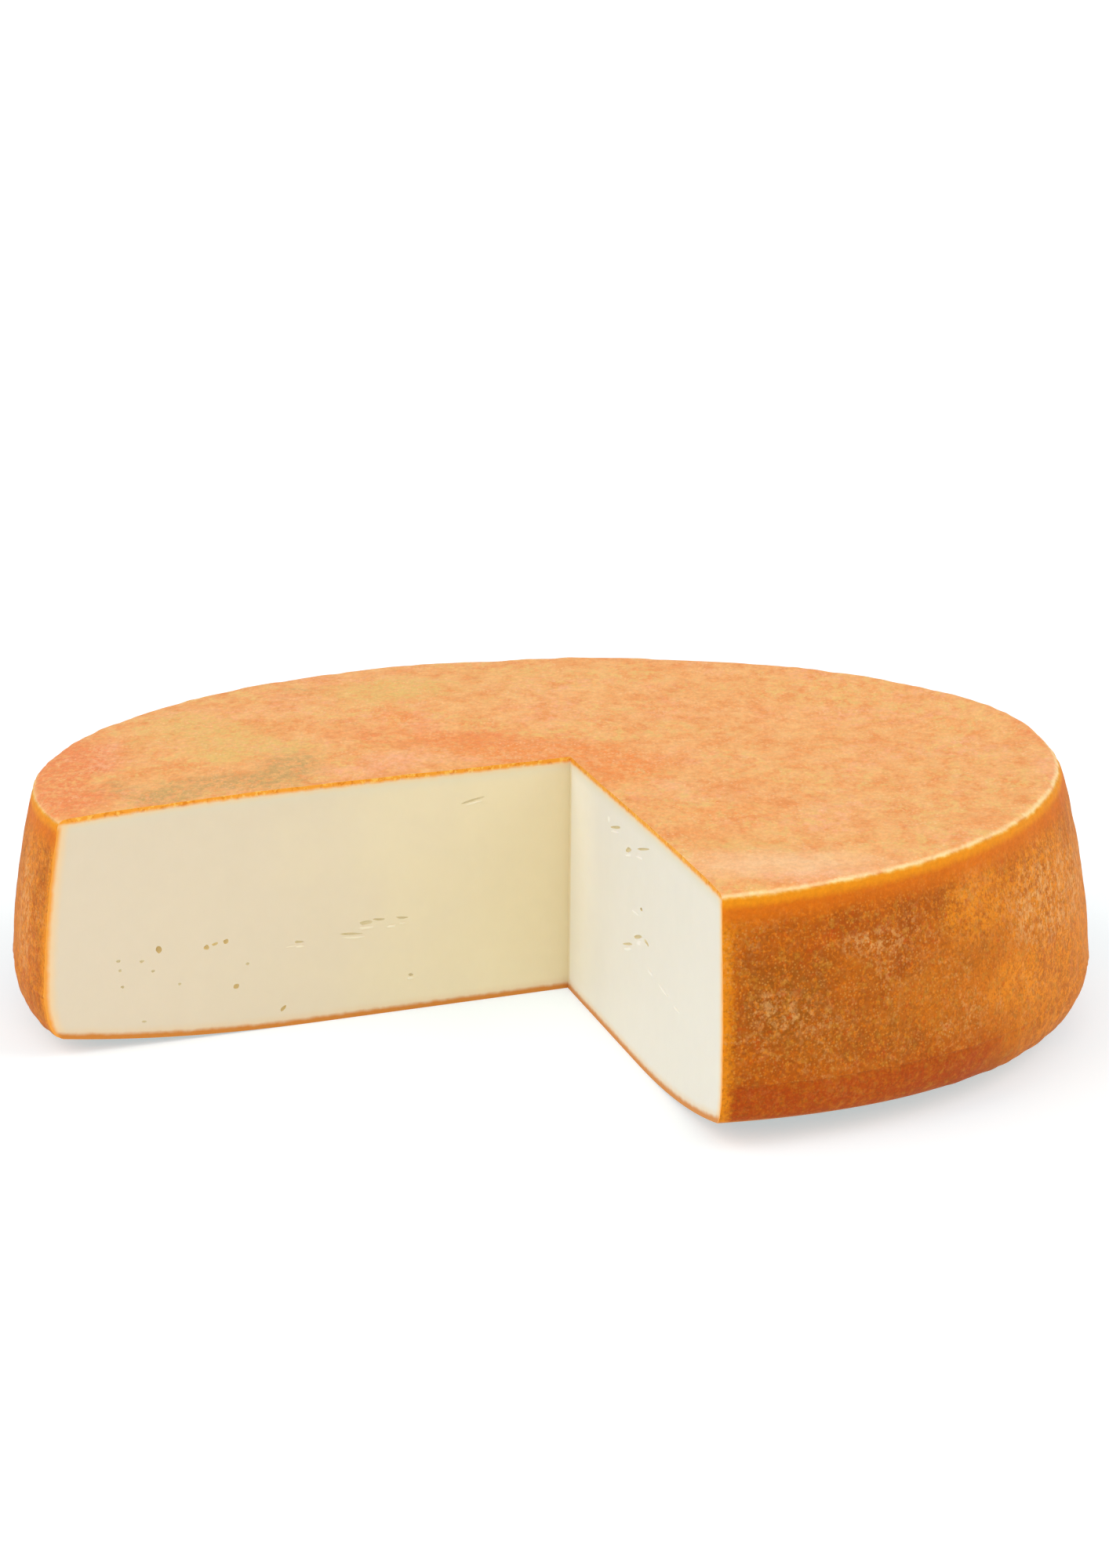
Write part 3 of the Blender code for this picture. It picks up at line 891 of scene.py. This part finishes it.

# %% [markdown]
# ## Rind
#
# The rind was washed, rubbed and turned: peach on top with salmon, pink, straw and olive clouds, and a deep
# orange-brown side, dusted pale where the press cloth rubbed. The rim carries a thin cream line, worn pale
# and partly a painted highlight along the edge, with amber under it, and near a fresh cut the side glows
# orange, because light enters the paste beside it.

# %% The rind's colours
# Clouds: size in millimetres, detail, roughness, move, where they begin and are full, strength, tint
PALE_PEACH = (8, 8, 0.76, 0, 0.32, 0.68, 1, (243, 182, 115))
STRAW_FLECKS = (4, 7, 0.78, 250, 0.47, 0.61, 1, (234, 188, 110))
PINK_FLECKS = (3, 7, 0.78, 270, 0.47, 0.61, 1, (246, 174, 132))
ORANGE_BROWN = (16, 6, 0.7, 40, 0.30, 0.70, 1, (182, 90, 8))
WARM_SIDE = (46, 4, 0.55, 290, 0.40, 0.64, 0.6, (206, 116, 20))
RED_FLECKS = (2.6, 4, 0.65, 210, 0.54, 0.70, 0.5, (186, 68, 8))
OCHRE_FLECKS = (3, 3, 0.6, 240, 0.54, 0.66, 0.6, (186, 120, 34))
RED_FOOT = (3, 4, 0.65, 435, 0.28, 0.58, 0.8, (166, 60, 6))
# The same without a tint
STRAW_VEIL = (36, 3, 0.5, 230, 0.40, 0.62, 0.8)
PINK_VEIL = (32, 3, 0.5, 240, 0.46, 0.66, 0.6)
PEACH, BROWN = seen(233, 147, 79), seen(152, 72, 6)
BRUSHED = (1.0, 0.55, 1.0)
# Kind, tint on the top, tint on the side, millimetres of the clouds that break its edge, strength
PATCH_TINTS = (
    ("straw", (228, 186, 106), (188, 114, 34), 6, 0.70),
    ("pink", (246, 176, 132), (214, 136, 76), 6, 0.70),
    ("salmon", (236, 138, 80), (184, 74, 14), 8, 0.80),
    ("orange", (238, 142, 70), (226, 134, 22), 8, 0.75),
    ("olive", (196, 158, 96), (148, 84, 16), 5, 0.70),
)
PATCH_UNREST = 1.6
PATCH_NOISE = (5, 0.66)
PATCH_EDGE = (0.20, 1.05)
MOTTLE_NOISE, MOTTLE_EDGE, LEAST_MOTTLE = (2.6, 5, 0.75), (0.42, 0.58, 0.9), 0.35
PATCH_MOVE, MOTTLE_MOVE, NEXT_MOVE = 60, 75, 30
FOOT_EDGE = (0.88, 1.14)
LITTLE_ORANGE = (0.36, 0.08)


def rind_clouds(finish, on_side):
    """Peach on the top with paler clouds and flecks, and orange-brown clouds on the side."""
    top = finish.cloud(PEACH, PALE_PEACH, stretch=BRUSHED)
    top = finish.cloud(top, STRAW_FLECKS, finish.clouds(STRAW_VEIL), stretch=BRUSHED)
    top = finish.cloud(top, PINK_FLECKS, finish.clouds(PINK_VEIL), stretch=BRUSHED)
    return finish.mix(on_side, top, finish.cloud(finish.cloud(BROWN, ORANGE_BROWN), WARM_SIDE))


def rind_patches(finish, colour, on_side, level, fields):
    """The placed patches over the clouds, with the side's own flecks and the redder foot."""
    for number, (kind, on_top, at_side, size, strength) in enumerate(PATCH_TINTS):
        move = NEXT_MOVE * number
        edge = finish.ragged(fields[kind], PATCH_UNREST, size, *PATCH_NOISE, PATCH_MOVE + move)
        mottle = finish.clouds((*MOTTLE_NOISE, MOTTLE_MOVE + move, *MOTTLE_EDGE), BRUSHED)
        mottle = finish.math("ADD", mottle, LEAST_MOTTLE)
        share = finish.product(finish.ramp(edge, *PATCH_EDGE), strength, mottle)
        colour = finish.mix(share, colour, finish.mix(on_side, seen(*on_top), seen(*at_side)))
    colour = finish.cloud(finish.cloud(colour, RED_FLECKS, on_side), OCHRE_FLECKS, on_side)
    little_orange = finish.ramp(fields["orange"], *LITTLE_ORANGE)
    return finish.cloud(colour, RED_FOOT, finish.ramp(level, *FOOT_EDGE), little_orange)


print("patch tints:", [row[0] for row in PATCH_TINTS])

# %% Grain, dust and rim
DARK_GRAIN = (1.1, 2, 0.5, 530, 0.50, 0.68, 0.4, (134, 72, 14))
BRIGHT_GRAIN = (1.2, 2, 0.5, 560, 0.52, 0.68, 0.45, (224, 124, 20))
TOP_SPECKS = (12, 4, 0.6, 390, 0.40, 0.62, 0.5, (250, 206, 160))
FINE_DUST = (8, 3, 0.6, 360, 0.25, 0.60, 0.5, (208, 140, 62))
BLOOM = (3.4, 5, 0.68, 375, 0.50, 0.62, 0.38, (230, 177, 112))
DUST_CLOUDS = (20, 5, 0.6, 300, 0.40, 0.68, 0.4)
DUST_NET = (1.9, 4, 0.6, 345, 0.48, 0.62, 0.8)
DUST_HEAPS = (4.5, 4, 0.65, 315, 0.44, 0.58, 1.1)
# Clouds that break up the rim's cream line, which is worn and partly a painted highlight along the edge
WORN_RIM_AND_HIGHLIGHT = (11, 5, 0.65, 450, 0.26, 0.60, 0.95)
# Bands: where they begin and are full along a measure, strength, tint
GLOW = (5.0, 0.6, 0.85, (226, 136, 14))
UNDER_RIM = (13, 5, 0.75, (214, 108, 12))
AMBER = (5.4, 2.2, 0.8, (232, 145, 18))
CREASE = (0.024, 0.006, 0.45, (226, 166, 98))
UNDERSIDE = (2.0, 2.25, 1, (204, 136, 72))
# Ragged edges: width, then the noise
GLOW_EDGE = (7.0, 1.5, 4, 0.65, 425)
RIM_EDGE = (2.0, 3.2, 4, 0.62, 420)
RUBBED_EDGE = (1.0, 9, 5, 0.66, 330)
# Specks: millimetres of a cell and of a speck, share of the cells, move
TOP_SPECK = (1.5, 0.55, 0.6, 5)
SIDE_SPECK = (1.2, 0.46, 0.85, 9)
COARSE_SPECK = (1.5, 0.6, 0.7, 3)
# Steps: where they begin and are full, and some strengths
LESS_GRAIN, LEAST_GRAIN = (1.14, 0.86, 0.6), 0.4
LESS_DUST, LEAST_DUST = (1.12, 0.90, 0.75), 0.25
RUBBED, MOST_RUBBED, BLOOMING = (0.10, 1.25), 0.8, (0.35, 0.90)
THINNEST_DUST, LEAST_HEAP, COARSE_STRENGTH = 0.08, 0.45, 0.58
RIM_LINE, CREAM_WIDTH, CREAM_TURN, NO_SALMON = 0.2, (1.7, 0.1), (0.0, 1.4), (1.2, 0.1)
CREASE_LEVEL, UNDER_STRAW = 1.03, (0.1, 0.6)
DUST, TOP_DUST = seen(226, 166, 98), seen(246, 200, 150)
CREAM_UPPER, CREAM_LOWER = seen(249, 216, 158), seen(241, 194, 84)


def rind_grain(finish, colour, on_side, level, from_cut):
    """The side's glow beside a cut, and over it the side's fine dark and bright grain."""
    colour = finish.band(colour, GLOW, finish.ragged(from_cut, *GLOW_EDGE), on_side)
    fewer_at_foot = finish.math("ADD", finish.ramp(level, *LESS_GRAIN), LEAST_GRAIN)
    return finish.cloud(finish.cloud(colour, DARK_GRAIN, on_side), BRIGHT_GRAIN, fewer_at_foot, on_side)


def rind_dust(finish, colour, on_side, level, dusty):
    """Pale specks of rubbed cloth marks, thick in the dusty patches and thin elsewhere."""
    on_top = finish.math("SUBTRACT", 1.0, on_side)
    rubbed = finish.ramp(finish.ragged(dusty, *RUBBED_EDGE), *RUBBED)
    colour = finish.mix(finish.product(rubbed, on_top, MOST_RUBBED), colour, TOP_DUST)
    colour = finish.cloud(colour, TOP_SPECKS, finish.specks(*TOP_SPECK), on_top)
    fewer_at_foot = finish.math("ADD", finish.ramp(level, *LESS_DUST), LEAST_DUST)
    colour = finish.cloud(colour, FINE_DUST, finish.specks(*SIDE_SPECK), fewer_at_foot, on_side)
    amount = finish.math("MAXIMUM", rubbed, finish.math("ADD", finish.clouds(DUST_CLOUDS), THINNEST_DUST))
    heaps = finish.math("ADD", finish.clouds(DUST_HEAPS), LEAST_HEAP)
    coarse = finish.math("MAXIMUM", finish.specks(*COARSE_SPECK), finish.clouds(DUST_NET))
    coarse = finish.product(coarse, finish.product(amount, fewer_at_foot, heaps), on_side, COARSE_STRENGTH)
    return finish.cloud(finish.mix(coarse, colour, DUST), BLOOM, finish.ramp(dusty, *BLOOMING), on_side)


def rind_edges(finish, colour, on_side, along, level, fields):
    """The amber under the rim, its cream line (worn, and partly a painted highlight), the crease over the
    foot and the underside.
    """
    down = finish.ragged(along, *RIM_EDGE)
    colour = finish.band(finish.band(colour, UNDER_RIM, down, on_side), AMBER, down, on_side)
    # The rim's cream line: worn paler, and partly a painted highlight along the rounded edge
    off_rim = finish.math("ABSOLUTE", finish.math("SUBTRACT", down, RIM_LINE))
    cream = finish.product(finish.ramp(off_rim, *CREAM_WIDTH), finish.clouds(WORN_RIM_AND_HIGHLIGHT))
    cream = finish.product(cream, finish.ramp(fields["salmon"], *NO_SALMON))
    colour = finish.mix(cream, colour, finish.mix(finish.ramp(down, *CREAM_TURN), CREAM_UPPER, CREAM_LOWER))
    off_crease = finish.math("ABSOLUTE", finish.math("SUBTRACT", level, CREASE_LEVEL))
    colour = finish.band(colour, CREASE, off_crease, finish.ramp(fields["straw"], *UNDER_STRAW))
    return finish.band(colour, UNDERSIDE, level)


# %% Rind finish
RIND_GRAIN = (1.6, 4, 0.72, 480, BRUSHED)
FINE_GRAIN = (0.6, 2, 0.5, 510)
GRAIN_SHADE = 0.50
SIDE_EDGE = (0.2, 1.4)
BUMP_DEPTH = 0.06


def make_rind():
    """The whole rind from its clouds, patches, grain, dust and edges, with a fine shade over all."""
    finish = Finish("rind")
    along, level, from_cut = finish.measure("rind_place")
    fields = dict(zip(KINDS, finish.measure("warm_patches") + finish.measure("pale_patches")))
    on_side = finish.ramp(along, *SIDE_EDGE)
    colour = rind_patches(finish, rind_clouds(finish, on_side), on_side, level, fields)
    colour = rind_grain(finish, colour, on_side, level, from_cut)
    colour = rind_dust(finish, colour, on_side, level, fields["dusty"])
    colour = rind_edges(finish, colour, on_side, along, level, fields)
    grain = finish.noise(*RIND_GRAIN)
    finish.paint(colour, finish.math("MULTIPLY_ADD", grain, GRAIN_SHADE, 1 - GRAIN_SHADE / 2))
    finish.relief(finish.math("ADD", grain, finish.noise(*FINE_GRAIN)), BUMP_DEPTH)
    finish.gloss(roughness=0.66, specular=0.07, sheen=0.02, scatter=0.05, scatter_depth=1.5)


make_rind()
print("rind nodes:", len(bpy.data.materials["rind"].node_tree.nodes))

# %% [markdown]
# ## Paste
#
# The paste is ivory, yellower towards the wheel's middle and paler near the rind. The right cut face is
# painted paler and cooler than the left, as painted light from the left, and the left face is painted
# lighter towards the corner, as painted fill against the shade in the notch. Subsurface scattering lets
# light a few millimetres into it. The rind shows on the cut as an orange line, browner along the base, with
# a warm zone inside it. It follows
# `depths`, so it keeps to the outline all the way.

# %% Paste finish
# The right face's tones are painted paler and cooler than the left face's, as painted light from the left.
# The corner's tone is yellower, and painted lighter as painted fill against the shade in the notch.
LEFT_IVORY, LIT_CORNER_IVORY, LIT_APEX_IVORY = seen(222, 206, 178), seen(232, 216, 177), seen(238, 231, 213)
# Bands again, in millimetres
RIND_IVORY = (70, 8, 1, (221, 205, 179))
LIT_RIGHT_IVORY = (9, 17, 1, (227, 221, 207))
COOL_IVORY = (7, 2.5, 0.4, (217, 210, 184))
RIGHT_FACE = (5.9, 6.6)
TURN_WIDTH, CORNER_TURN = 100, (-1.1, -0.1)
# From the inside out: which depth a band of the rind's line follows, and the band
LINE_BANDS = (
    ("side", (5.2, 1.0, 0.9, (238, 202, 150))),
    ("base", (5.0, 1.4, 0.8, (226, 198, 158))),
    ("base", (2.8, 1.0, 1, (204, 128, 50))),
    ("side", (2.2, 0.2, 1, (236, 156, 58))),
    ("top", (4.0, 1.4, 0.6, (238, 202, 150))),
)
TOP_LINE = seen(238, 156, 44)
TOP_LINE_EDGE = (2.4, 0.9)
DARK_FLECKS = (2.2, 3, 0.6, 120, 0.50, 0.64, 1, (220, 130, 18))
YELLOW_FLECKS = (1.8, 3, 0.6, 150, 0.54, 0.64, 0.8, (244, 190, 84))
# Ragged edges and plain noises
IVORY_EDGE = (0.6, 26, 3, 0.5, 20)
LINE_EDGE = (1.2, 3.4, 3, 0.55, 90)
IVORY_CLOUDS = (7, 5, 0.6, 180)
IVORY_SHADE = 0.05
BLADE_DRAG = (1.6, 4, 0.6, 200, (1.0, 1.0, 0.3))
INSIDE_CLOUDS = (1.4, 3, 0.6)


def ivory(finish, across, from_side, under_top):
    """The paste's tone by place across the cheese and depth from side and top; the paler right face and
    lighter corner are painted light.
    """
    towards_corner = finish.ragged(finish.math("DIVIDE", across, TURN_WIDTH), *IVORY_EDGE)
    # Left face: painted lighter towards the corner, as painted fill against the shade in the notch
    left = finish.mix(finish.ramp(towards_corner, *CORNER_TURN), LEFT_IVORY, LIT_CORNER_IVORY)
    left = finish.band(left, RIND_IVORY, from_side)
    # Right face: painted paler and cooler, as painted light from the left
    right = finish.band(LIT_APEX_IVORY, LIT_RIGHT_IVORY, across)
    return finish.band(finish.mix(finish.ramp(across, *RIGHT_FACE), left, right), COOL_IVORY, under_top)


def rind_line(finish, colour, *depths_here):
    """The rind's own thickness as it shows on a cut, with its warm zone inside."""
    edges = dict(zip(("top", "side", "base"), (finish.ragged(depth, *LINE_EDGE) for depth in depths_here)))
    for edge, band in LINE_BANDS:
        colour = finish.band(colour, band, edges[edge])
    line = finish.cloud(finish.cloud(TOP_LINE, DARK_FLECKS), YELLOW_FLECKS)
    return finish.mix(finish.ramp(edges["top"], *TOP_LINE_EDGE), colour, line)


def make_paste():
    """Ivory paste with the rind's line round it, and the faint drag of the blade as relief."""
    finish = Finish("paste")
    under_top, from_side, over_base = finish.measure("depths")
    colour = ivory(finish, finish.parts(finish.place)[0], from_side, under_top)
    colour = rind_line(finish, colour, under_top, from_side, over_base)
    clouds = finish.noise(*IVORY_CLOUDS)
    finish.paint(colour, finish.math("MULTIPLY_ADD", clouds, IVORY_SHADE, 1 - IVORY_SHADE / 2))
    finish.relief(finish.noise(*BLADE_DRAG), BUMP_DEPTH)
    finish.gloss(roughness=0.55, specular=0.20, scatter=0.20, scatter_depth=3.0)


def make_inside(name, light, dark):
    """The inside of an eye or a tear: the same paste, moister, in two close tones."""
    finish = Finish(name)
    finish.paint(finish.mix(finish.noise(*INSIDE_CLOUDS), light, dark))
    finish.gloss(roughness=0.50, specular=0.20, scatter=0.15, scatter_depth=1.5)


def make_flake(on_left, on_right):
    """A lifted flake: the paste of its face, a little drier, and painted paler than it as a painted
    highlight.
    """
    finish = Finish("flake")
    finish.paint(finish.mix(finish.ramp(finish.parts(finish.place)[0], *RIGHT_FACE), on_left, on_right))
    finish.gloss(roughness=0.55, specular=0.20, scatter=0.20, scatter_depth=2.0)


make_paste()
make_inside("eye", seen(228, 204, 148), seen(206, 178, 116))
make_inside("tear", seen(228, 214, 178), seen(210, 192, 144))
# Flake tones: paler than the paste as a painted highlight, and paler and cooler on the right face as
# painted light
make_flake(seen(235, 222, 192), seen(238, 232, 218))
print("paste nodes:", len(bpy.data.materials["paste"].node_tree.nodes))

# %% [markdown]
# ## Floor and light
#
# The cheese stands on white in a bright, soft studio. An even surround gives most of the light, and three
# very wide suns stand for soft boxes. The floor is so bright that it clips to white, and a little bluish
# light of its own keeps the shade at the cheese's foot pale. The view transform is the plain one, so that
# colours come out as they were mixed.

# %% Floor and light
FLOOR_SIZE = 30.0
FLOOR_COLOUR = (0.80, 0.67, 0.60, 1.0)
FLOOR_GLOW = (0.51, 0.86, 1.0, 1.0)
GLOW_STRENGTH = 0.50
WHITE = (1.0, 1.0, 1.0, 1.0)
SURROUND = 0.66
SOFT_BOX_ANGLE = math.radians(50)
# Name, direction that the light comes from, and strength
SOFT_BOXES = (
    ("left_box", (-0.70, -0.30, 0.64), 0.85),
    ("right_box", (0.80, 0.0, 0.57), 0.80),
    ("front_box", (0.0, -0.85, 0.50), 0.50),
)


def make_floor():
    """A wide, pale floor under the cheese."""
    corners = np.array(((-1, -1, 0), (1, -1, 0), (1, 1, 0), (-1, 1, 0))) * FLOOR_SIZE / 2
    mesh = bpy.data.meshes.new("floor")
    mesh.from_pydata(corners, [], [(0, 1, 2, 3)])
    floor = put("floor", mesh)
    finish = Finish("floor")
    finish.fill({"Base Color": FLOOR_COLOUR})
    finish.fill({"Emission Color": FLOOR_GLOW, "Emission Strength": GLOW_STRENGTH})
    finish.gloss(roughness=0.9, specular=0.1)
    floor.data.materials.append(finish.material)


def make_soft_box(name, towards, strength):
    """A very wide sun that shines from the direction `towards`."""
    data = bpy.data.lights.new(name, "SUN")
    data.energy = strength
    data.angle = SOFT_BOX_ANGLE
    put(name, data).rotation_euler = Vector(towards).to_track_quat("Z", "Y").to_euler()


def make_surround(strength):
    """Even white light from all round."""
    world = bpy.data.worlds.new("studio")
    world.use_nodes = True
    background = world.node_tree.nodes["Background"]
    background.inputs["Color"].default_value = WHITE
    background.inputs["Strength"].default_value = strength
    bpy.context.scene.world = world


make_floor()
make_surround(SURROUND)
for box in SOFT_BOXES:
    make_soft_box(*box)
bpy.context.scene.view_settings.view_transform = "Standard"
bpy.context.scene.view_settings.look = "None"
print("soft boxes:", [box[0] for box in SOFT_BOXES], "surround", SURROUND)
